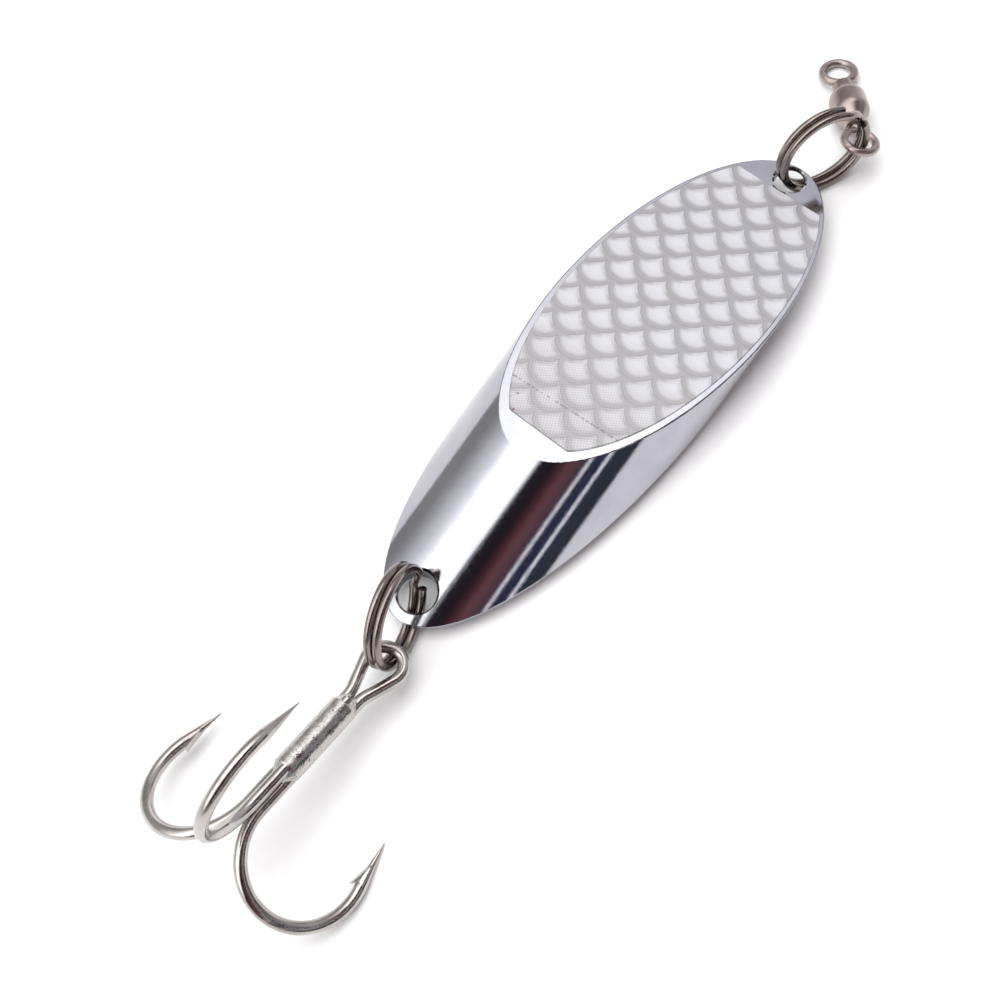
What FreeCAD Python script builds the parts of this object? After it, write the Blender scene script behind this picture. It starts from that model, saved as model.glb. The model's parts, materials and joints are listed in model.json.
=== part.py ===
import FreeCAD, Part
import Sketcher
import math
import os
from FreeCAD import Placement, Rotation, Vector

# A spoon lure: a slice cut on the skew from round bar, with a line swivel at its front tip and a treble
# hook at its tail. Lengths are millimetres and angles are degrees. Until the last step the origin is on
# the flat underside, +X points to the line end and +Z is up.
SIZES = [
    # the slice of bar
    ("bar_dia", 19.0),            # round bar that the body is sawn from
    ("bar_tilt", 19.4),           # bar axis to the flat underside
    ("flat_taper", 7.0),          # upper flat to the underside, thinner to the front
    ("core_thick", 4.28),         # thickness where the bar axis crosses the slice
    ("edge_round", 0.15),         # polished edge
    ("front_hole_dia", 3.0),
    ("front_setback", 2.35),      # front hole to the front tip
    ("rear_hole_dia", 3.7),
    ("rear_setback", 3.6),        # rear hole to the tail tip
    ("hole_break", 0.2),          # deburred rim of both holes
    # the foil on the upper flat
    ("foil_thick", 0.1),
    ("foil_margin", 0.55),        # bare metal round the foil
    ("foil_tail_gap", 2.7),       # rear tip of the flat to the straight cut of the foil
    ("foil_hole_gap", 0.35),      # front hole to the straight cut of the foil
    # the split rings
    ("ring_outer", 9.6),
    ("ring_wire", 0.8),
    ("ring_coil_gap", 0.03),
    ("ring_step_span", 36.0),     # arc over which the wire steps from one coil to the other
    ("ring_under_gap", 0.55),     # underside to the top of the wire that passes below it
    ("front_ring_turn", -24.9),
    ("front_ring_lean", 6.0),
    ("front_ring_split", 62.0),  # place of the wire's first end, up from the foremost point
    ("rear_ring_turn", 200.6),
    ("rear_ring_lean", -6.0),
    ("rear_ring_split", 212.0),
    # the barrel swivel
    ("swivel_pitch", 11.0),       # centre of one eye to the centre of the other
    ("eye_wire", 0.8),
    ("eye_play", 0.77),           # room in the eye beside both coils of the ring
    ("eye_inner", "=2 * ring_wire + ring_coil_gap + eye_play"),
    ("eye_slack", 0.2),           # ring wire to the middle of the eye
    ("pin_dia", 1.1),             # stem of an eye
    ("pin_play", 0.06),           # radial play of the stem in the neck
    ("pin_head_dia", 1.8),
    ("barrel_dia", 3.7),
    ("barrel_wall", 0.4),
    ("barrel_neck_len", 0.8),
    ("barrel_cone_len", 1.4),
    ("barrel_eye_gap", 0.2),      # end of the neck to the eye
    ("swivel_on_ring", -18.0),    # place on the front ring, below its foremost point
    ("swivel_turn", 45.0),
    # the treble hook
    ("hook_wire", 1.14),
    ("hook_eye_play", 0.7),
    ("hook_eye_inner", "=2 * ring_wire + ring_coil_gap + hook_eye_play"),
    ("hook_eye_slack", 0.35),      # ring wire to the middle of the eye, on the side of the shank
    ("hook_throat", 3.7),         # middle of the eye to the place where its legs meet
    ("hook_shank", 16.3),         # middle of the eye to the start of the bend
    ("hook_bend", 5.5),           # radius of the bend to the middle of the wire
    ("hook_turn_in", 12.4),       # point leg to the shank
    ("hook_leg", 0.5),            # straight wire after the bend
    ("hook_point", 4.0),          # length of the tapered point
    ("barb_rise", 0.45),
    ("braze_skin", 0.04),         # braze over the outermost line of each strand
    ("braze_end", 13.6),          # middle of the eye to the lower end of the braze
    ("treble_on_ring", -18.0),
    ("treble_turn", 184.0),
    ("treble_roll", -4.0),        # about the shank, so that it rests on one side point
]
FINE = 0.02                       # clearance that keeps wires laid side by side from overlapping
POINT_BLUNT = 0.08                # end of a hook point, as a share of the wire
EYE_ROOT = 0.9                    # stem of a swivel eye at its loop, as a share of the eye's wire

# The barb is a wedge cut up from the point: places along it are shares of the point's length, and
# depths and the thickness are shares of the wire's radius.
BARB_FRONT = (0.45, 0.4)
BARB_BACK = (0.12, 0.3)
BARB_EDGE = -0.08
BARB_THICK = 0.9

doc = FreeCAD.newDocument("SpoonLure")
sheet = doc.addObject("Spreadsheet::Sheet", "Sizes")
for row, (alias, value) in enumerate(SIZES, start=1):
    sheet.set("A%d" % row, alias)
    sheet.set("B%d" % row, str(value))
    sheet.setAlias("B%d" % row, alias)
doc.recompute()


def size(alias):
    return float(sheet.get(alias))


# ---- helpers for bodies, sketches and features ----

def new_body(label):
    body = doc.addObject("PartDesign::Body", label)
    body.Label = label
    return body


def new_sketch(body, name, role):
    sketch = body.newObject("Sketcher::SketchObject", name)
    plane = [feature for feature in body.Origin.OriginFeatures if feature.Role == role][0]
    sketch.AttachmentSupport = [(plane, "")]
    sketch.MapMode = "FlatFace"
    return sketch


def value_of(sketch, formula):
    result = sketch.evalExpression(formula)
    return float(getattr(result, "Value", result))


def fix_point(sketch, geometry, end, x_formula, y_formula):
    for kind, formula in (("DistanceX", x_formula), ("DistanceY", y_formula)):
        number = sketch.addConstraint(
            Sketcher.Constraint(kind, geometry, end, value_of(sketch, formula)))
        sketch.setExpression("Constraints[%d]" % number, formula)


def draw_polygon(sketch, corners):
    """Straight outline whose corners are held by formulas in the sheet's sizes."""
    points = [Vector(value_of(sketch, x), value_of(sketch, y), 0) for x, y in corners]
    count = len(points)
    for index in range(count):
        sketch.addGeometry(Part.LineSegment(points[index], points[(index + 1) % count]), False)
    for index, (x_formula, y_formula) in enumerate(corners):
        sketch.addConstraint(Sketcher.Constraint("Coincident", index, 2, (index + 1) % count, 1))
        fix_point(sketch, index, 1, x_formula, y_formula)


def draw_circle(sketch, x_formula, y_formula, radius_formula):
    centre = Vector(value_of(sketch, x_formula), value_of(sketch, y_formula), 0)
    radius = value_of(sketch, radius_formula)
    number = sketch.addGeometry(Part.Circle(centre, Vector(0, 0, 1), radius), False)
    fix_point(sketch, number, 3, x_formula, y_formula)
    held = sketch.addConstraint(Sketcher.Constraint("Radius", number, radius))
    sketch.setExpression("Constraints[%d]" % held, radius_formula)


def add_feature(body, kind, name, sketch, length_formula):
    feature = body.newObject("PartDesign::" + kind, name)
    feature.Profile = sketch
    feature.SideType = "Symmetric"
    feature.setExpression("Length", length_formula)
    doc.recompute()
    return feature


def revolve(body, name, sketch, axis):
    feature = body.newObject("PartDesign::Revolution", name)
    feature.Profile = sketch
    feature.ReferenceAxis = (sketch, [axis])
    feature.Angle = 360.0
    doc.recompute()
    return feature


def smooth_edges(body, kind, name, wanted, property_name, formula):
    """Fillet or chamfer the edges of the body for which wanted(edge) is true."""
    tip = body.Tip
    names = ["Edge%d" % number for number, edge in enumerate(tip.Shape.Edges, 1) if wanted(edge)]
    feature = body.newObject("PartDesign::" + kind, name)
    feature.Base = (tip, names)
    feature.setExpression(property_name, formula)
    doc.recompute()
    return feature


# ---- the slice of bar and its foil ----

HALF = "Sizes.core_thick / 2"
BAR_RISE = "tan(Sizes.bar_tilt)"
FLAT_FALL = "tan(Sizes.flat_taper)"
BAR_REACH = "Sizes.bar_dia / 2 / cos(Sizes.bar_tilt)"
BLANK = "2 * Sizes.bar_dia / sin(Sizes.bar_tilt)"
# Where the long outline crosses the middle plane: the tips of the underside and of the upper flat.
TAIL_TIP = "(-(%s) - %s) / %s" % (BAR_REACH, HALF, BAR_RISE)
FRONT_TIP = "(%s + %s) / (%s + %s)" % (HALF, BAR_REACH, BAR_RISE, FLAT_FALL)
FLAT_TAIL_TIP = "(%s - %s) / (%s + %s)" % (HALF, BAR_REACH, BAR_RISE, FLAT_FALL)
FRONT_HOLE = "%s - Sizes.front_setback" % FRONT_TIP
REAR_HOLE = "%s + Sizes.rear_setback" % TAIL_TIP


def bar_slice(body, radius_formula, floor, ceiling):
    """Round bar, tilted, between two flats. Each flat is its height at the origin and its fall."""
    stock = new_sketch(body, body.Label + "_stock", "YZ_Plane")
    stock.AttachmentOffset = Placement(Vector(0, 1, 0), Rotation(Vector(-1, 0, 0), size("bar_tilt")))
    stock.setExpression("AttachmentOffset.Base.y", HALF)
    stock.setExpression("AttachmentOffset.Rotation.Angle", "Sizes.bar_tilt")
    draw_circle(stock, "0", "0", radius_formula)
    add_feature(body, "Pad", body.Label + "_bar", stock, BLANK)
    for name, (height, fall), far in (("under", floor, "-1"), ("upper", ceiling, "1")):
        waste = new_sketch(body, "%s_%s_waste" % (body.Label, name), "XZ_Plane")
        far_edge = "%s * (%s)" % (far, BLANK)
        draw_polygon(waste, [
            ("-(%s)" % BLANK, "%s + (%s) * %s" % (height, BLANK, fall)),
            (BLANK, "%s - (%s) * %s" % (height, BLANK, fall)),
            (BLANK, far_edge),
            ("-(%s)" % BLANK, far_edge)])
        add_feature(body, "Pocket", "%s_%s_cut" % (body.Label, name), waste, "2 * Sizes.bar_dia")


def make_lure_body():
    body = new_body("lure_body")
    bar_slice(body, "Sizes.bar_dia / 2", ("0", "0"), ("Sizes.core_thick", FLAT_FALL))
    for name, place, bore in (("front_hole", FRONT_HOLE, "Sizes.front_hole_dia / 2"),
                              ("rear_hole", REAR_HOLE, "Sizes.rear_hole_dia / 2")):
        sketch = new_sketch(body, name + "_outline", "XY_Plane")
        draw_circle(sketch, place, "0", bore)
        add_feature(body, "Pocket", name, sketch, BLANK)

    def is_outline(edge):
        return edge.BoundBox.YLength > size("bar_dia") / 2

    def is_upper_rim(edge):
        box = edge.BoundBox
        return edge.Closed and not is_outline(edge) and box.ZMax > size("hole_break") * 4
    smooth_edges(body, "Fillet", "polished_edges", is_outline, "Radius", "Sizes.edge_round")
    smooth_edges(body, "Chamfer", "deburred_holes", is_upper_rim, "Size", "Sizes.hole_break")
    return body


def make_foil():
    body = new_body("scale_foil")
    top = "Sizes.core_thick"
    bar_slice(body, "Sizes.bar_dia / 2 - Sizes.foil_margin", (top, FLAT_FALL),
              (top + " + Sizes.foil_thick", FLAT_FALL))
    tail_cut = "%s + Sizes.foil_tail_gap" % FLAT_TAIL_TIP
    front_cut = "%s - Sizes.front_hole_dia / 2 - Sizes.foil_hole_gap" % FRONT_HOLE
    for name, near, far in (("foil_tail_cut", tail_cut, "-(%s)" % BLANK),
                            ("foil_front_cut", front_cut, BLANK)):
        sketch = new_sketch(body, name + "_outline", "XY_Plane")
        draw_polygon(sketch, [(near, "-Sizes.bar_dia"), (far, "-Sizes.bar_dia"),
                              (far, "Sizes.bar_dia"), (near, "Sizes.bar_dia")])
        add_feature(body, "Pocket", name, sketch, BLANK)
    return body


# ---- wire pieces ----

def add_shape(label, shape):
    feature = doc.addObject("Part::Feature", label)
    feature.Label = label
    feature.Shape = shape
    return feature


def bent_wire(edges, diameter):
    """Round wire swept along edges that follow one another."""
    path = Part.Wire(edges)
    start = edges[0].valueAt(edges[0].FirstParameter)
    heading = edges[0].tangentAt(edges[0].FirstParameter)
    section = Part.Wire(Part.makeCircle(diameter / 2, start, heading))
    return path.makePipeShell([section], True, False)


def ring_shape():
    """Split ring: two coils side by side round +Z, and one step from the first coil to the second."""
    radius = (size("ring_outer") - size("ring_wire")) / 2
    shift = (size("ring_wire") + size("ring_coil_gap")) / 2
    span = size("ring_step_span")

    def at(angle, height):
        turned = math.radians(angle)
        return Vector(radius * math.cos(turned), radius * math.sin(turned), height)

    def coil(start, end, height):
        return Part.Arc(at(start, height), at((start + end) / 2, height), at(end, height)).toShape()

    def heading(angle):
        turned = math.radians(angle)
        return Vector(-math.sin(turned), math.cos(turned), 0) * radius * math.radians(span)

    first_end = 360 - span
    steps = [0, 0.25, 0.5, 0.75, 1]
    rise = [at(first_end + span * step, -shift * math.cos(math.pi * step)) for step in steps]
    step_curve = Part.BSplineCurve()
    step_curve.interpolate(Points=rise, InitialTangent=heading(first_end), FinalTangent=heading(360))
    end_gap = math.degrees(size("ring_wire") / radius) / 4
    edges = [coil(0, first_end / 2, -shift), coil(first_end / 2, first_end, -shift),
             step_curve.toShape(),
             coil(360, 360 + first_end / 2, shift),
             coil(360 + first_end / 2, 360 + first_end - end_gap, shift)]
    return bent_wire(edges, size("ring_wire"))


def make_ring(label):
    return add_shape(label, ring_shape())


HOOKS = {"up": 0.0, "left": -120.0, "right": 120.0}


def strand_offset():
    return (size("hook_wire") + FINE) / math.sqrt(3)


def hook_side(which):
    turned = math.radians(HOOKS[which])
    return Vector(0, math.sin(turned), math.cos(turned))


def hook_outline(which, start):
    """Edges from start on the shank round the bend to the root of the point, the tip and its heading."""
    side = hook_side(which)
    along = Vector(1, 0, 0)
    bend = size("hook_bend")
    turn_in = math.radians(size("hook_turn_in"))
    foot = along * size("hook_shank") + side * strand_offset()
    centre = foot + side * bend

    def on_bend(angle):
        return centre + along * bend * math.sin(angle) - side * bend * math.cos(angle)

    bend_end = math.pi + turn_in
    heading = along * -math.cos(turn_in) - side * math.sin(turn_in)
    root = on_bend(bend_end) + heading * size("hook_leg")
    edges = [Part.makeLine(along * start + side * strand_offset(), foot),
             Part.Arc(foot, on_bend(bend_end / 2), on_bend(bend_end)).toShape(),
             Part.makeLine(on_bend(bend_end), root)]
    return edges, root, heading


def add_point(wire, which, root, heading):
    """Needle point on the end of a hook, with a barb raised on the side of the shank."""
    length = size("hook_point")
    radius = size("hook_wire") / 2
    tip_radius = radius * POINT_BLUNT
    point = Part.makeCone(radius, tip_radius, length, root, heading)
    side = hook_side(which)
    inward = (heading * heading.dot(side) - side).normalize()
    across = heading.cross(inward).normalize()
    thick = radius * BARB_THICK
    corners = [root + heading * length * BARB_FRONT[0] + inward * radius * BARB_FRONT[1],
               root + heading * length * BARB_EDGE + inward * (radius + size("barb_rise")),
               root + heading * length * BARB_BACK[0] + inward * radius * BARB_BACK[1]]
    outline = Part.makePolygon([corner - across * thick / 2 for corner in corners + corners[:1]])
    barb = Part.Face(outline).extrude(across * thick)
    return wire.fuse([point, barb]).removeSplitter()


def make_single_hook():
    start = size("hook_throat") + size("hook_wire")
    edges, root, heading = hook_outline("up", start)
    return add_shape("hook_single_wire", add_point(bent_wire(edges, size("hook_wire")), "up", root, heading))


def eye_edges():
    """Tear-shaped eye between the two lower strands, from the left strand round to the right one."""
    loop = (size("hook_eye_inner") + size("hook_wire")) / 2
    half = strand_offset() * math.sin(math.radians(120))
    level = strand_offset() * math.cos(math.radians(120))
    throat = size("hook_throat")
    spread = math.asin(loop / math.hypot(throat, half)) - math.atan2(half, throat)
    blend = size("hook_wire") * 3
    reach = blend * math.tan(spread / 2)
    start = throat + reach

    def at(x, y):
        return Vector(x, y, level)

    def half_eye(sign):
        """Throat bend and straight leg on one side."""
        leg_start = at(throat - reach * math.cos(spread), sign * (half + reach * math.sin(spread)))
        middle = at(start - blend * math.sin(spread / 2),
                    sign * (half + blend * (1 - math.cos(spread / 2))))
        leg_end = at(loop * math.sin(spread), sign * loop * math.cos(spread))
        bend = Part.Arc(at(start, sign * half), middle, leg_start).toShape()
        return bend, Part.makeLine(leg_start, leg_end), leg_end

    left_bend, left_leg, left_end = half_eye(-1)
    right_bend, right_leg, right_end = half_eye(1)
    round_end = Part.Arc(left_end, at(-loop, 0), right_end).toShape()
    return [left_bend, left_leg, round_end, right_leg, right_bend], start


def make_double_hook():
    eye, start = eye_edges()
    left, left_root, left_heading = hook_outline("left", start)
    right, right_root, right_heading = hook_outline("right", start)
    wire = bent_wire(Part.__sortEdges__(left + eye + right), size("hook_wire"))
    wire = add_point(wire, "left", left_root, left_heading)
    return add_shape("hook_double_wire", add_point(wire, "right", right_root, right_heading))


def make_braze(hooks):
    """Solder that fills the grooves between the strands and closes over them."""
    start = size("hook_throat") + size("hook_wire") / 2
    length = size("braze_end") - start
    radius = strand_offset() + size("hook_wire") / 2 + size("braze_skin")
    taper = size("hook_wire")
    along = Vector(1, 0, 0)
    groove = strand_offset() * 0.9
    body = Part.makeCylinder(radius, length - 2 * taper, along * (start + taper), along)
    ends = [Part.makeCone(groove, radius, taper, along * start, along),
            Part.makeCone(radius, groove, taper, along * (start + length - taper), along)]
    core = Part.makeCylinder(groove, length + 2 * taper, along * (start - taper), along)
    filled = body.fuse(ends).cut([core] + [hook.Shape for hook in hooks])
    return add_shape("hook_braze", filled)


# ---- the swivel ----

# Distances from the middle of the barrel: its end, the shoulder of the neck, the full width and the
# cone inside that an eye's head turns against.
BARREL_HALF = ("(Sizes.swivel_pitch / 2 - Sizes.eye_inner / 2 - Sizes.eye_wire"
               " - Sizes.barrel_eye_gap)")
BORE = "(Sizes.pin_dia / 2 + Sizes.pin_play)"
SHOULDER = "(%s - Sizes.barrel_neck_len)" % BARREL_HALF
BULB = "(%s - Sizes.barrel_cone_len)" % SHOULDER
SEAT = "(%s - Sizes.barrel_wall / 2)" % SHOULDER
SEAT_FROM_EYE = "Sizes.swivel_pitch / 2 - %s" % SEAT


def make_swivel_eye(label):
    """Wire eye round the origin, and its headed stem along +X into the barrel."""
    body = new_body(label)
    loop = "(Sizes.eye_inner + Sizes.eye_wire) / 2"
    ring_sketch = new_sketch(body, label + "_section", "XZ_Plane")
    draw_circle(ring_sketch, loop, "0", "Sizes.eye_wire / 2")
    revolve(body, label + "_loop", ring_sketch, "V_Axis")
    stem = "Sizes.pin_dia / 2"
    head = "Sizes.pin_head_dia / 2"
    neck = "%s + Sizes.eye_wire * %g" % (loop, EYE_ROOT)
    seat = SEAT_FROM_EYE + " + Sizes.pin_play"
    head_start = "%s + 2 * (%s - %s)" % (seat, head, stem)      # the head is a slimmer cone than its seat
    head_end = head_start + " + Sizes.eye_wire / 2"
    stem_sketch = new_sketch(body, label + "_stem_outline", "XY_Plane")
    draw_polygon(stem_sketch, [
        (loop, "0"), (loop, "Sizes.eye_wire * %g / 2" % EYE_ROOT), (neck, stem), (seat, stem),
        (head_start, head), (head_end, head), (head_end, "0")])
    revolve(body, label + "_stem", stem_sketch, "H_Axis")
    return body


def make_barrel():
    """Turned shell with a neck at each end that holds an eye's head inside."""
    body = new_body("swivel_barrel")
    outer = "Sizes.barrel_dia / 2"
    neck = "(%s + Sizes.barrel_wall)" % BORE
    cavity = "(%s - Sizes.barrel_wall)" % outer
    half = [(BARREL_HALF, BORE), (BARREL_HALF, neck), (SHOULDER, neck), (BULB, outer)]
    inner = [(BULB, cavity), (SEAT, BORE)]
    mirror = [("-" + x, y) for x, y in half]
    inner_mirror = [("-" + x, y) for x, y in inner]
    sketch = new_sketch(body, "barrel_outline", "XY_Plane")
    draw_polygon(sketch, half + mirror[::-1] + inner_mirror[::-1] + inner)
    revolve(body, "barrel_shell", sketch, "H_Axis")

    def bulb_edge(edge):
        return edge.Closed and abs(edge.Curve.Radius - size("barrel_dia") / 2) < FINE
    smooth_edges(body, "Fillet", "bulb_round", bulb_edge, "Radius", "Sizes.barrel_cone_len * 0.9")
    return body


# ---- how the pieces lie at rest ----

def axis_placement(origin, x_axis, z_hint):
    """Placement that lays a piece's +X along x_axis, with its +Z as near as can be to z_hint."""
    x_axis = Vector(x_axis).normalize()
    z_axis = Vector(z_hint - x_axis * z_hint.dot(x_axis)).normalize()
    return Placement(origin, Rotation(x_axis, z_axis.cross(x_axis), z_axis, "XZY"))


class RingPose:
    """A split ring that stands on the ground, threaded through a hole, with the slice resting on it."""

    def __init__(self, hole_centre, turn, lean, ground):
        wire = size("ring_wire")
        self.radius = (size("ring_outer") - wire) / 2
        turn = math.radians(turn)
        lean = math.radians(lean)
        self.out = Vector(math.cos(turn), math.sin(turn), 0)
        side = Vector(-math.sin(turn), math.cos(turn), 0)
        self.up = Vector(0, 0, 1) * math.cos(lean) + side * math.sin(lean)
        self.normal = self.out.cross(self.up)
        coil_drop = (wire + size("ring_coil_gap")) / 2 * abs(math.sin(lean))
        spare = hole_centre.z - ground - wire / 2 - coil_drop
        rise = 1 - spare / (self.radius * math.cos(lean))
        self.hole = hole_centre
        self.centre = hole_centre + (self.out * math.sqrt(1 - rise * rise) + self.up * rise) * self.radius

    def point(self, angle):
        angle = math.radians(angle)
        return self.centre + (self.out * math.cos(angle) + self.up * math.sin(angle)) * self.radius

    def tangent(self, angle):
        angle = math.radians(angle)
        return self.up * math.cos(angle) - self.out * math.sin(angle)

    def placement(self, split_angle):
        angle = math.radians(split_angle)
        return axis_placement(self.centre, self.out * math.cos(angle) + self.up * math.sin(angle),
                              self.normal)


def flat_height(x):
    return size("core_thick") - x * math.tan(math.radians(size("flat_taper")))


def bar_height(x, side):
    tilt = math.radians(size("bar_tilt"))
    return size("core_thick") / 2 + x * math.tan(tilt) + side * size("bar_dia") / 2 / math.cos(tilt)


def treble_placement(ring, ground):
    """The eye hangs on the rear ring and one of the side hooks touches the ground with its point."""
    hook_on = ring.point(size("treble_on_ring"))
    roll = Rotation(Vector(1, 0, 0), size("treble_roll"))
    share = max(-roll.multVec(hook_side(which)).z for which in ("left", "right"))

    def pitch_to_rest(place, radius):
        along = place.x - size("hook_eye_slack")
        below = place.z * share
        drop = hook_on.z - ground - radius
        return math.atan2(below, along) - math.asin(drop / math.hypot(along, below))
    _, root, heading = hook_outline("up", size("hook_throat"))
    radius = size("hook_wire") / 2
    pitch = max(pitch_to_rest(root, radius),
                pitch_to_rest(root + heading * size("hook_point"), radius * POINT_BLUNT))
    turn = math.radians(size("treble_turn"))
    shank = Vector(math.cos(turn) * math.cos(pitch), math.sin(turn) * math.cos(pitch), math.sin(pitch))
    level = axis_placement(hook_on - shank * size("hook_eye_slack"), shank, Vector(0, 0, 1))
    return level * Placement(Vector(), roll)


def swivel_frame(ring, ground):
    """Middle of the ring eye, and the heading of the swivel down to the line eye on the ground."""
    hook_on = ring.point(size("swivel_on_ring"))
    turn = math.radians(size("swivel_turn"))
    far = size("swivel_pitch") + size("eye_slack") + size("eye_inner") / 2 + size("eye_wire") / 2
    fall = math.asin((hook_on.z - ground - size("eye_wire") / 2) / far)
    heading = Vector(math.cos(turn) * math.cos(fall), math.sin(turn) * math.cos(fall), -math.sin(fall))
    return hook_on, heading


def main():
    lure_body = make_lure_body()
    foil = make_foil()
    front_ring = make_ring("front_split_ring")
    rear_ring = make_ring("rear_split_ring")
    ring_eye = make_swivel_eye("swivel_ring_eye")
    line_eye = make_swivel_eye("swivel_line_eye")
    barrel = make_barrel()
    double_hook = make_double_hook()
    single_hook = make_single_hook()
    braze = make_braze([double_hook, single_hook])
    parts = [lure_body, foil, front_ring, rear_ring, ring_eye, line_eye, barrel,
             double_hook, single_hook, braze]
    doc.recompute()

    ground = -size("ring_wire") - size("ring_under_gap")
    front_x = value_of(lure_body, FRONT_HOLE)
    rear_x = value_of(lure_body, REAR_HOLE)
    front_hole = Vector(front_x, 0, (flat_height(front_x) + max(0, bar_height(front_x, -1))) / 2)
    rear_hole = Vector(rear_x, 0, bar_height(rear_x, 1) / 2)
    front = RingPose(front_hole, size("front_ring_turn"), size("front_ring_lean"), ground)
    rear = RingPose(rear_hole, size("rear_ring_turn"), size("rear_ring_lean"), ground)
    front_ring.Placement = front.placement(size("front_ring_split"))
    rear_ring.Placement = rear.placement(size("rear_ring_split"))
    hook_on, heading = swivel_frame(front, ground)
    wire_heading = front.tangent(size("swivel_on_ring"))
    ring_eye_centre = hook_on + heading * size("eye_slack")
    line_eye_centre = ring_eye_centre + heading * size("swivel_pitch")
    ring_eye.Placement = axis_placement(ring_eye_centre, heading, wire_heading)
    line_eye.Placement = axis_placement(line_eye_centre, heading * -1, Vector(0, 0, 1))
    barrel.Placement = axis_placement((ring_eye_centre + line_eye_centre) / 2, heading, wire_heading)
    treble = treble_placement(rear, ground)
    for piece in (double_hook, single_hook, braze):
        piece.Placement = treble

    # The origin moves to the middle of the overall box, on the ground.
    box = FreeCAD.BoundBox()
    for piece in parts:
        box.add(piece.Shape.optimalBoundingBox(False))
    shift = Vector(-box.Center.x, -box.Center.y, -box.ZMin)
    for piece in parts:
        piece.Placement = Placement(shift, Rotation()).multiply(piece.Placement)
    doc.recompute()

    for thing in doc.Objects:
        if "Invalid" in thing.State or "Error" in thing.State:
            raise RuntimeError("%s is %s" % (thing.Name, thing.State))
    os.makedirs("parts", exist_ok=True)
    for piece in parts:
        if piece.Shape.isNull() or not piece.Shape.isValid():
            raise RuntimeError("%s has no valid shape" % piece.Label)
        piece.Shape.exportStep("parts/%s.step" % piece.Label)
        print("%-18s %9.3f mm3  %d solid" % (piece.Label, piece.Shape.Volume, len(piece.Shape.Solids)))

    def tell(name, vector):
        print("%-22s %9.4f %9.4f %9.4f" % (name, vector.x, vector.y, vector.z))
    tell("shift", shift)
    tell("front_hole", front.hole + shift)
    tell("front_ring_axis", front.normal)
    tell("front_ring_out", front.out)
    tell("rear_hole", rear.hole + shift)
    tell("rear_ring_axis", rear.normal)
    tell("rear_ring_out", rear.out)
    tell("swivel_on_ring", hook_on + shift)
    tell("swivel_wire_axis", wire_heading)
    tell("swivel_heading", heading)
    tell("line_eye", line_eye_centre + shift)
    tell("treble_on_ring", rear.point(size("treble_on_ring")) + shift)
    tell("treble_wire_axis", rear.tangent(size("treble_on_ring")))
    tell("treble_shank", treble.Rotation.multVec(Vector(1, 0, 0)))
    tell("treble_up", treble.Rotation.multVec(Vector(0, 0, 1)))


main()
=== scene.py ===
import bpy
import json
import math
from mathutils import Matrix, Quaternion, Vector


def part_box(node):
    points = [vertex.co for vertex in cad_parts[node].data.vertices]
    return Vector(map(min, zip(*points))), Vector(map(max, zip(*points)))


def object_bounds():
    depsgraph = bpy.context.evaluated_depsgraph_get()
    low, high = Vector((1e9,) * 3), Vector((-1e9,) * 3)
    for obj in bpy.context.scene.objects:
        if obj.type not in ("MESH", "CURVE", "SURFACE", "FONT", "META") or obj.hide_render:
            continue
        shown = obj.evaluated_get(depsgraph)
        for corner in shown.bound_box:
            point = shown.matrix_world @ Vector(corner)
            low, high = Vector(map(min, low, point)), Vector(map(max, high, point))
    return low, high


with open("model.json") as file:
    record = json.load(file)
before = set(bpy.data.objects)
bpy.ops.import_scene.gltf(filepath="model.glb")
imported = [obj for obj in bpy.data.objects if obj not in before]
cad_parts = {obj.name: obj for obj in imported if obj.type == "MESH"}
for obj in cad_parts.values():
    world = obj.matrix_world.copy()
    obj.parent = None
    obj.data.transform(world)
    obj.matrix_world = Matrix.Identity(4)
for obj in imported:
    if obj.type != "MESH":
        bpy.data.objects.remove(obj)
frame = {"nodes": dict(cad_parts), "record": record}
cad_low, cad_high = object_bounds()

# A spoon lure on a pale table. Lengths are metres, and patterns are laid out in millimetres.
MM = 0.001
NODES = frame["nodes"]
BODY_LOW, BODY_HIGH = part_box("lure_body")
FOIL_LOW, FOIL_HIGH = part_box("scale_foil")

# The body is a skew slice of round bar, and what its flank mirrors depends only on the angle round the
# axis of that bar.
BAR_TILT = math.radians(19.4)
BAR_AXIS = Vector((math.cos(BAR_TILT), 0, math.sin(BAR_TILT)))
BAR_UP = Vector((-math.sin(BAR_TILT), 0, math.cos(BAR_TILT)))


# ---- shader graphs ----

def linear(red, green, blue):
    """Scene colour of a display colour given from 0 to 255."""
    def channel(value):
        share = value / 255
        return share / 12.92 if share <= 0.04045 else ((share + 0.055) / 1.055) ** 2.4
    return channel(red), channel(green), channel(blue), 1.0


def grey(value):
    return value, value, value, 1.0


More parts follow.
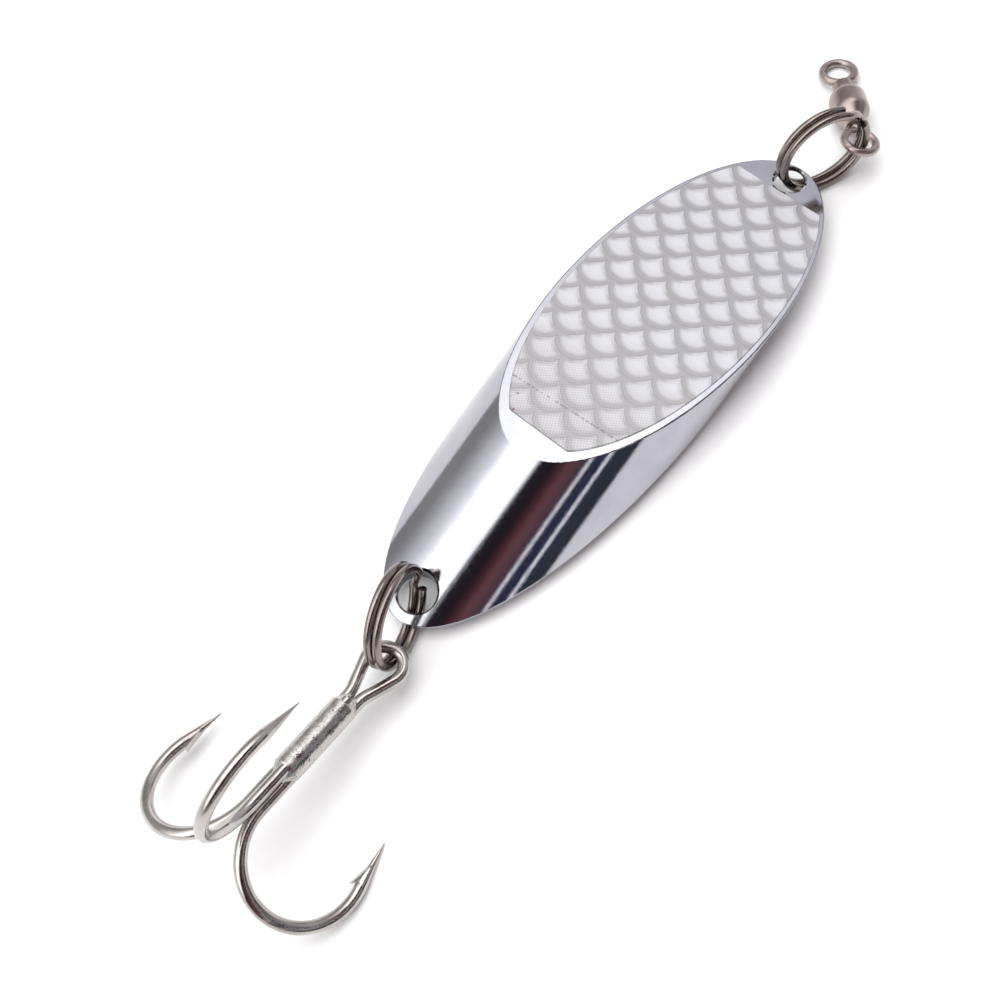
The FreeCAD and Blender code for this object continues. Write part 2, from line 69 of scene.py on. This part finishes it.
class Graph:
    """Adds shader nodes to a tree. An input is a socket to link or a value to set."""

    def __init__(self, tree):
        self.tree = tree

    def feed(self, socket, value):
        if isinstance(value, bpy.types.NodeSocket):
            self.tree.links.new(value, socket)
        else:
            socket.default_value = value

    def node(self, kind, inputs=None, **settings):
        made = self.tree.nodes.new("ShaderNode" + kind)
        for name, value in settings.items():
            setattr(made, name, value)
        for name, value in (inputs or {}).items():
            self.feed(made.inputs[name], value)
        return made

    def math(self, operation, *values, clamp=False):
        made = self.node("Math", dict(enumerate(values)), operation=operation, use_clamp=clamp)
        return made.outputs[0]

    def vector(self, operation, *values):
        made = self.node("VectorMath", dict(enumerate(values)), operation=operation)
        return made.outputs["Value" if operation in ("DOT_PRODUCT", "LENGTH", "DISTANCE") else "Vector"]

    def noise(self, place, scale, detail=2.0, roughness=0.5):
        made = self.node("TexNoise", {"Vector": place, "Scale": scale, "Detail": detail,
                                      "Roughness": roughness})
        return made.outputs["Fac"]

    def range(self, value, low, high, to_low=0.0, to_high=1.0):
        """Smooth step from low to high."""
        made = self.node("MapRange", {"Value": value, "From Min": low, "From Max": high,
                                      "To Min": to_low, "To Max": to_high},
                         interpolation_type="SMOOTHSTEP")
        return made.outputs["Result"]

    def ramp(self, factor, stops):
        made = self.node("ValToRGB", {"Fac": factor})
        elements = made.color_ramp.elements
        while len(elements) < len(stops):
            elements.new(1.0)
        for element, (place, colour) in zip(elements, stops):
            element.position = place
            element.color = colour
        return made.outputs["Color"]

    def mix(self, factor, first, second, blend="MIX"):
        made = self.node("Mix", data_type="RGBA", blend_type=blend)
        for index, value in ((0, factor), (6, first), (7, second)):
            self.feed(made.inputs[index], value)
        return made.outputs[2]

    def bump(self, height, strength, distance, normal=None):
        made = self.node("Bump", {"Height": height, "Strength": strength, "Distance": distance})
        if normal is not None:
            self.feed(made.inputs["Normal"], normal)
        return made.outputs["Normal"]


def place_in_mm(graph):
    """Place in the lure's own frame, in millimetres."""
    place = graph.node("TexCoord").outputs["Object"]
    return graph.vector("MULTIPLY", place, (1 / MM, 1 / MM, 1 / MM))


def new_material(name):
    """Material, its graph and its shader."""
    material = bpy.data.materials.new(name)
    material.use_nodes = True
    material.node_tree.nodes.clear()
    graph = Graph(material.node_tree)
    shader = graph.node("BsdfPrincipled")
    output = graph.node("OutputMaterial")
    graph.feed(output.inputs["Surface"], shader.outputs["BSDF"])
    return material, graph, shader


def edge_share(graph, radius):
    """1 on sharp edges, falling to 0 at about radius from them."""
    rounded = graph.node("Bevel", {"Radius": radius}, samples=6).outputs["Normal"]
    flat = graph.node("NewGeometry").outputs["Normal"]
    return graph.math("SUBTRACT", 1.0, graph.vector("DOT_PRODUCT", rounded, flat), clamp=True)


def stretched(graph, place, along, across):
    """Place with long cells along X, for drawn or sawn grain."""
    return graph.vector("MULTIPLY", place, (along, across, across))


# ---- materials ----

JOINT_PLACES = {joint["name"]: Vector(joint["pos_m"]) for joint in frame["record"]["behaviour"]["joints"]}
# The joint in the middle of each hole of the body, and the hole's diameter in millimetres.
BODY_HOLES = [("rear_ring_swing", 3.7), ("front_ring_swing", 3.0)]
SCRATCH_DULL = 0.10               # roughness that a scratch adds
WORN_DULL = 0.12                  # roughness that a worn edge adds

# Fish scales printed on the film, in millimetres.
FOIL_MIDDLE_Y = (FOIL_LOW.y + FOIL_HIGH.y) / 2 / MM
SCALE_LONG = 3.8                  # from one scale to the next along the body
SCALE_WIDE = 3.84
SCALE_RADIUS = 2.12
SCALE_MIDDLE = (FOIL_LOW.x / MM + 19.01, FOIL_MIDDLE_Y + 1.51)     # middle of one scale
DOT_PITCH = 0.26                  # fine screen of the print
SCORE_FORWARD = 3.42              # scored line, forward of the film's tail end
SCORE_SLANT = -0.065

# Brown specks by the left corner of the film: forward from its tail end, left of the corner and radius.
FILM_CORNER = 3.44                # the corner, left of the middle of the film
SPECKS = [(1.7, 0.45, 0.13), (0.15, -0.35, 0.16), (0.05, -0.05, 0.12), (0.5, 0.1, 0.05), (1.1, 0.75, 0.05)]


def plated_metal(name, colour, tint, roughness, grain, smudge, holes=()):
    """Plated metal: patchy tint, smudged gloss, fine grain in the bump and brighter, duller edges."""
    material, graph, shader = new_material(name)
    place = place_in_mm(graph)
    cloud = graph.noise(place, 0.35, 3.0)
    fine = graph.noise(place, 2.6, 4.0)
    lines = graph.noise(stretched(graph, place, 0.6, 14.0), 1.0, 3.0)
    marks = graph.range(graph.noise(stretched(graph, place, 0.25, 9.0), 1.0, 1.0), 0.70, 0.74)
    worn = edge_share(graph, 0.12 * MM)
    base = graph.mix(graph.range(cloud, 0.3, 0.7), colour, tint)
    base = graph.mix(graph.math("MULTIPLY", worn, 0.5), base, grey(0.8))
    # Painted shade darkens the walls of the body's holes.
    base = paint_hole_shade(graph, place, base, holes)
    graph.feed(shader.inputs["Base Color"], base)
    shader.inputs["Metallic"].default_value = 1.0
    gloss = graph.range(fine, 0.35, 0.75, roughness, roughness + smudge)
    gloss = graph.math("ADD", gloss, graph.math("MULTIPLY", worn, WORN_DULL))
    gloss = graph.math("ADD", gloss, graph.math("MULTIPLY", marks, SCRATCH_DULL))
    graph.feed(shader.inputs["Roughness"], gloss)
    height = graph.math("ADD", graph.math("MULTIPLY", lines, grain), graph.math("MULTIPLY", fine, grain / 2))
    graph.feed(shader.inputs["Normal"], graph.bump(height, 1.0, 0.02 * MM))
    return material


def paint_hole_shade(graph, place, base, holes):
    """Painted shade on the walls of upright round holes, inside their bright deburred rims."""
    flat_place = graph.vector("MULTIPLY", place, (1.0, 1.0, 0.0))
    for joint, diameter in holes:
        middle = JOINT_PLACES[joint] / MM
        away = graph.vector("DISTANCE", flat_place, (middle.x, middle.y, 0.0))
        painted_wall_shade = graph.range(away, diameter / 2 + 0.08, diameter / 2 + 0.02)
        base = graph.mix(graph.math("MULTIPLY", painted_wall_shade, 0.9), base, linear(46, 40, 42))
    return base


def scale_arcs(graph, x, y, centre_x, centre_y):
    """One family of overlapping scales, in columns along X with their free ends to the tail.

    Gives how far x lies behind the centre of the scale it is on, how far inside that scale's edge it is,
    and how far it is to the edge of the next scale in front.
    """
    off_y = graph.math("SUBTRACT", y, centre_y)
    across = graph.math("WRAP", off_y, -SCALE_WIDE / 2, SCALE_WIDE / 2)
    reach = graph.math("SQRT", graph.math("SUBTRACT", SCALE_RADIUS ** 2, graph.math("POWER", across, 2.0)))
    past = graph.math("WRAP", graph.math("ADD", graph.math("SUBTRACT", x, centre_x), reach), 0.0, SCALE_LONG)
    behind = graph.math("SUBTRACT", past, reach)

    def from_centre(offset):
        along = graph.math("SUBTRACT", behind, offset)
        square = graph.math("ADD", graph.math("POWER", along, 2.0), graph.math("POWER", across, 2.0))
        return graph.math("SQRT", square)
    inside = graph.math("SUBTRACT", SCALE_RADIUS, from_centre(0.0))
    # Past its middle a scale has no edge of its own.
    inside = graph.math("ADD", inside, graph.math("MAXIMUM", behind, 0.0))
    ahead = graph.math("SUBTRACT", from_centre(SCALE_LONG), SCALE_RADIUS)
    return behind, inside, ahead


def printed_film():
    """Pale film with printed fish scales, painted shadow behind the edges of the scales in front, painted
    highlights in the scales' middles, a fine screen of dots, a dark cut edge and a scored line.
    """
    material, graph, shader = new_material("scale_film")
    place = place_in_mm(graph)
    sway = graph.node("TexNoise", {"Vector": place, "Scale": 0.9, "Detail": 1.0}).outputs["Color"]
    sway = graph.vector("MULTIPLY", graph.vector("SUBTRACT", sway, (0.5, 0.5, 0.5)), (0.22, 0.22, 0.0))
    parts = graph.node("SeparateXYZ", {"Vector": graph.vector("ADD", place, sway)})
    x, y = parts.outputs["X"], parts.outputs["Y"]
    middle_x, middle_y = SCALE_MIDDLE
    first = scale_arcs(graph, x, y, middle_x, middle_y)
    second = scale_arcs(graph, x, y, middle_x + SCALE_LONG / 2, middle_y + SCALE_WIDE / 2)
    is_second = graph.math("LESS_THAN", second[0], first[0])
    inside = graph.math("ADD", graph.math("MULTIPLY", second[1], is_second),
                        graph.math("MULTIPLY", first[1], graph.math("SUBTRACT", 1.0, is_second)))
    ahead = graph.math("MINIMUM", first[2], second[2])
    # Grey band inside each scale's edge, and painted shadow on the scale behind, up to about 0.6 mm past the
    # edge of the scale in front.
    lit = graph.math("MULTIPLY", graph.range(inside, 0.36, 0.92), graph.range(ahead, 0.10, 0.58))
    line = graph.math("MULTIPLY", graph.range(inside, 0.22, 0.0), graph.range(ahead, 0.0, 0.10))
    tail = graph.range(graph.node("SeparateXYZ", {"Vector": place}).outputs["X"], 12.0, -3.0)
    cloud = graph.noise(place, 0.22, 2.0)
    band_and_shadow = graph.mix(cloud, linear(148, 147, 157), linear(154, 151, 150))
    band_and_shadow = graph.mix(graph.math("MULTIPLY", tail, 0.6), band_and_shadow, linear(164, 161, 162))
    cell = graph.mix(tail, linear(192, 192, 197), linear(187, 186, 188))
    colour = graph.mix(lit, band_and_shadow, cell)
    # Painted highlight: the middles of the scales are brightened, less so towards the tail end.
    painted_highlight = graph.math("MULTIPLY", graph.range(inside, 0.9, 1.7), graph.range(tail, 1.0, 0.0, 0.25, 0.5))
    colour = graph.mix(painted_highlight, colour, linear(206, 206, 212))
    colour = graph.mix(graph.math("MULTIPLY", line, 0.45), colour, linear(122, 119, 130))
    screen = screen_of_dots(graph, place)
    colour = graph.mix(graph.math("MULTIPLY", screen, graph.range(tail, 0.0, 1.0, 0.16, 0.46)),
                       colour, linear(104, 101, 105))
    colour = mark_film(graph, place, colour)
    graph.feed(shader.inputs["Base Color"], colour)
    shader.inputs["Metallic"].default_value = 0.1
    graph.feed(shader.inputs["Roughness"], graph.range(lit, 0.0, 1.0, 0.26, 0.42))
    shader.inputs["Coat Weight"].default_value = 0.35
    shader.inputs["Coat Roughness"].default_value = 0.12
    height = graph.math("ADD", graph.math("MULTIPLY", lit, 0.6), graph.math("MULTIPLY", screen, 0.05))
    graph.feed(shader.inputs["Normal"], graph.bump(height, 0.5, 0.03 * MM))
    return material


def screen_of_dots(graph, place):
    """Crossed fine waves, from 0 to 1."""
    parts = graph.node("SeparateXYZ", {"Vector": place})
    turns = 2 * math.pi / DOT_PITCH

    def wave(angle):
        along = graph.math("ADD", graph.math("MULTIPLY", parts.outputs["X"], math.cos(angle) * turns),
                           graph.math("MULTIPLY", parts.outputs["Y"], math.sin(angle) * turns))
        return graph.math("MULTIPLY_ADD", graph.math("SINE", along), 0.5, 0.5)
    return graph.math("MULTIPLY", wave(math.radians(35)), wave(math.radians(118)))


def mark_film(graph, place, colour):
    """Dark cut edge, a scored line near the tail end and a few brown specks at one corner."""
    parts = graph.node("SeparateXYZ", {"Vector": place})
    tail_x = FOIL_LOW.x / MM
    film_corner_y = FOIL_MIDDLE_Y + FILM_CORNER
    score_x = graph.math("MULTIPLY_ADD", parts.outputs["Y"], SCORE_SLANT, tail_x + SCORE_FORWARD)
    to_score = graph.math("ABSOLUTE", graph.math("SUBTRACT", parts.outputs["X"], score_x))
    broken = graph.range(graph.noise(stretched(graph, place, 0.3, 3.2), 1.0, 2.0), 0.42, 0.52)
    score = graph.math("MULTIPLY", graph.range(to_score, 0.14, 0.04), broken)
    colour = graph.mix(graph.math("MULTIPLY", score, 0.6), colour, linear(84, 76, 80))
    flat_place = graph.vector("MULTIPLY", place, (1.0, 1.0, 0.0))
    ragged = graph.noise(place, 5.0, 2.0)
    for along, across, radius in SPECKS:
        away = graph.vector("DISTANCE", flat_place, (tail_x + along, film_corner_y + across, 0.0))
        away = graph.math("MULTIPLY_ADD", ragged, 0.25, away)
        speck = graph.range(away, radius + 0.16, radius + 0.04)
        colour = graph.mix(graph.math("MULTIPLY", speck, 0.85), colour, linear(84, 44, 42))
    edge = graph.range(edge_share(graph, 0.09 * MM), 0.03, 0.12)
    return graph.mix(graph.math("MULTIPLY", edge, 0.85), colour, linear(58, 50, 52))


def solder():
    """Dull braze, lumpy, with dark specks of flux."""
    material, graph, shader = new_material("hook_solder")
    place = place_in_mm(graph)
    lumps = graph.noise(place, 1.1, 4.0, 0.6)
    specks = graph.range(graph.noise(place, 3.0, 2.0), 0.66, 0.74)
    colour = graph.mix(lumps, linear(172, 167, 164), linear(202, 198, 195))
    graph.feed(shader.inputs["Base Color"], graph.mix(specks, colour, linear(84, 78, 76)))
    graph.feed(shader.inputs["Metallic"], graph.math("SUBTRACT", 1.0, graph.math("MULTIPLY", specks, 0.7)))
    graph.feed(shader.inputs["Roughness"], graph.range(lumps, 0.3, 0.7, 0.14, 0.34))
    graph.feed(shader.inputs["Normal"], graph.bump(lumps, 0.8, 0.12 * MM))
    return material


def dress(node, material):
    """Gives a CAD node its material."""
    mesh = NODES[node].data
    mesh.materials.clear()
    mesh.materials.append(material)


def dress_nodes():
    """Every CAD node gets a material. Colours are as seen on a display."""
    chrome = plated_metal("body_chrome", linear(180, 180, 187), linear(172, 172, 180),
                          0.045, 0.12, 0.05, BODY_HOLES)
    nickel = plated_metal("ring_nickel", linear(150, 141, 136), linear(118, 108, 104), 0.14, 0.30, 0.12)
    satin = plated_metal("swivel_nickel", linear(176, 162, 158), linear(150, 136, 132), 0.28, 0.30, 0.12)
    bright = plated_metal("hook_nickel", linear(196, 191, 187), linear(168, 160, 157), 0.11, 0.30, 0.10)
    dress("lure_body", chrome)
    dress("scale_foil", printed_film())
    for node in ("front_split_ring", "rear_split_ring"):
        dress(node, nickel)
    for node in ("swivel_ring_eye", "swivel_line_eye", "swivel_barrel"):
        dress(node, satin)
    for node in ("hook_double_wire", "hook_single_wire"):
        dress(node, bright)
    dress("hook_braze", solder())


# ---- studio ----

# What the flank mirrors, by the angle in degrees round the bar's axis from straight up, positive to +Y:
# a wide white window overhead, dark curtains with two thin gaps beside it, and grey walls.
STUDIO_BANDS = [
    (-180, 0.90), (-112, 0.50), (-97, 0.20), (-93.5, (0.17, 0.12, 0.10)), (-91, (0.17, 0.12, 0.10)),
    (-89, (0.055, 0.055, 0.07)), (-76, (0.05, 0.065, 0.09)),
    (-70, (0.05, 0.07, 0.10)), (-69, 1.7), (-67.5, 1.7), (-66.5, (0.04, 0.05, 0.10)),
    (-55, (0.05, 0.05, 0.09)), (-54, 1.8), (-52.5, 1.8), (-51.5, (0.09, 0.06, 0.10)),
    (-44, (0.18, 0.09, 0.11)), (-37, (0.24, 0.10, 0.11)), (-30, (0.12, 0.045, 0.05)),
    (-22, (0.03, 0.02, 0.03)), (-9, (0.035, 0.03, 0.04)), (-5, 2.4),
    (27, 2.7), (36, 1.7), (44, 1.25), (52, 0.95), (61, 0.64), (72, 0.42), (86, 0.42), (96, 0.62),
    (110, 0.90), (180, 0.95)]
STUDIO_ENDS = (0.62, 0.61, 0.66, 1.0)      # what is mirrored from beyond the two ends of the bar


def band_colour(value):
    return grey(value) if isinstance(value, float) else (*value, 1.0)


def make_world():
    """The metal mirrors the bands, and the camera sees a plain white backdrop."""
    world = bpy.data.worlds.new("studio")
    bpy.context.scene.world = world
    world.use_nodes = True
    world.node_tree.nodes.clear()
    graph = Graph(world.node_tree)
    heading = graph.node("TexCoord").outputs["Generated"]
    to_side = graph.vector("DOT_PRODUCT", heading, (0.0, 1.0, 0.0))
    to_up = graph.vector("DOT_PRODUCT", heading, tuple(BAR_UP))
    angle = graph.math("ARCTAN2", to_side, to_up)
    share = graph.math("MULTIPLY_ADD", angle, 0.5 / math.pi, 0.5)
    stops = [((degrees + 180) / 360, band_colour(value)) for degrees, value in STUDIO_BANDS]
    bands = graph.ramp(share, stops)
    lengthwise = graph.math("ABSOLUTE", graph.vector("DOT_PRODUCT", heading, tuple(BAR_AXIS)))
    colour = graph.mix(graph.range(lengthwise, 0.72, 0.95), bands, STUDIO_ENDS)
    seen = graph.node("LightPath").outputs["Is Camera Ray"]
    colour = graph.mix(seen, colour, (1.0, 1.0, 1.0, 1.0))
    back = graph.node("Background", {"Color": colour, "Strength": 1.0})
    output = graph.node("OutputWorld")
    graph.feed(output.inputs["Surface"], back.outputs["Background"])


def make_floor():
    """Pale table top under the lure."""
    half = 30 * (cad_high.x - cad_low.x)
    mesh = bpy.data.meshes.new("table")
    corners = [(-half, -half, 0), (half, -half, 0), (half, half, 0), (-half, half, 0)]
    mesh.from_pydata(corners, [], [(0, 1, 2, 3)])
    table = bpy.data.objects.new("table", mesh)
    bpy.context.scene.collection.objects.link(table)
    material, graph, shader = new_material("table_paper")
    place = place_in_mm(graph)
    fibre = graph.noise(place, 0.8, 3.0)
    graph.feed(shader.inputs["Base Color"], graph.mix(fibre, grey(0.86), grey(0.90)))
    shader.inputs["Roughness"].default_value = 0.75
    shader.inputs["Specular IOR Level"].default_value = 0.2
    mesh.materials.append(material)


def soft_light(name, place, aim, width, power):
    data = bpy.data.lights.new(name, "AREA")
    data.shape = "DISK"
    data.size = width
    data.energy = power
    light = bpy.data.objects.new(name, data)
    bpy.context.scene.collection.objects.link(light)
    light.location = place
    light.rotation_mode = "QUATERNION"
    light.rotation_quaternion = (Vector(aim) - Vector(place)).to_track_quat("-Z", "Y")
    light.visible_glossy = False
    light.visible_camera = False


def make_lights():
    """Wide lamps that fill in the table and the film. The metal mirrors the studio, not these."""
    soft_light("overhead_fill", (0.05, 0.10, 0.60), (0, 0, 0), 0.60, 1.5)
    soft_light("side_fill", (-0.40, -0.30, 0.45), (0, 0, 0), 0.50, 0.5)


# Camera: straight at a point in the rear half of the body, from above its tail on the right.
CAMERA_AZIMUTH = math.radians(-37.202)
CAMERA_ELEVATION = math.radians(66.158)
CAMERA_ROLL = math.radians(-12.998)
CAMERA_AWAY = 0.12849
CAMERA_LENS = 51.64
AIM_ALONG = 0.2359                # aim point, as a share of the body's length from its tail
AIM_ACROSS = 0.4913               # and of its width from its right side
AIM_HEIGHT = 3 * MM


def make_camera():
    aim = Vector((BODY_LOW.x + (BODY_HIGH.x - BODY_LOW.x) * AIM_ALONG,
                  BODY_LOW.y + (BODY_HIGH.y - BODY_LOW.y) * AIM_ACROSS, AIM_HEIGHT))
    flat = math.cos(CAMERA_ELEVATION)
    back = Vector((math.sin(CAMERA_AZIMUTH) * flat, -math.cos(CAMERA_AZIMUTH) * flat,
                   math.sin(CAMERA_ELEVATION)))
    camera = bpy.data.objects.new("camera", bpy.data.cameras.new("camera"))
    bpy.context.scene.collection.objects.link(camera)
    camera.data.sensor_width = 36
    camera.data.lens = CAMERA_LENS
    camera.data.clip_start = 0.005
    camera.location = aim + back * CAMERA_AWAY
    camera.rotation_mode = "QUATERNION"
    camera.rotation_quaternion = back.to_track_quat("Z", "Y") @ Quaternion((0, 0, 1), CAMERA_ROLL)
    bpy.context.scene.camera = camera


make_camera()
make_world()
make_floor()
make_lights()
dress_nodes()
bpy.context.scene.view_settings.view_transform = "Standard"
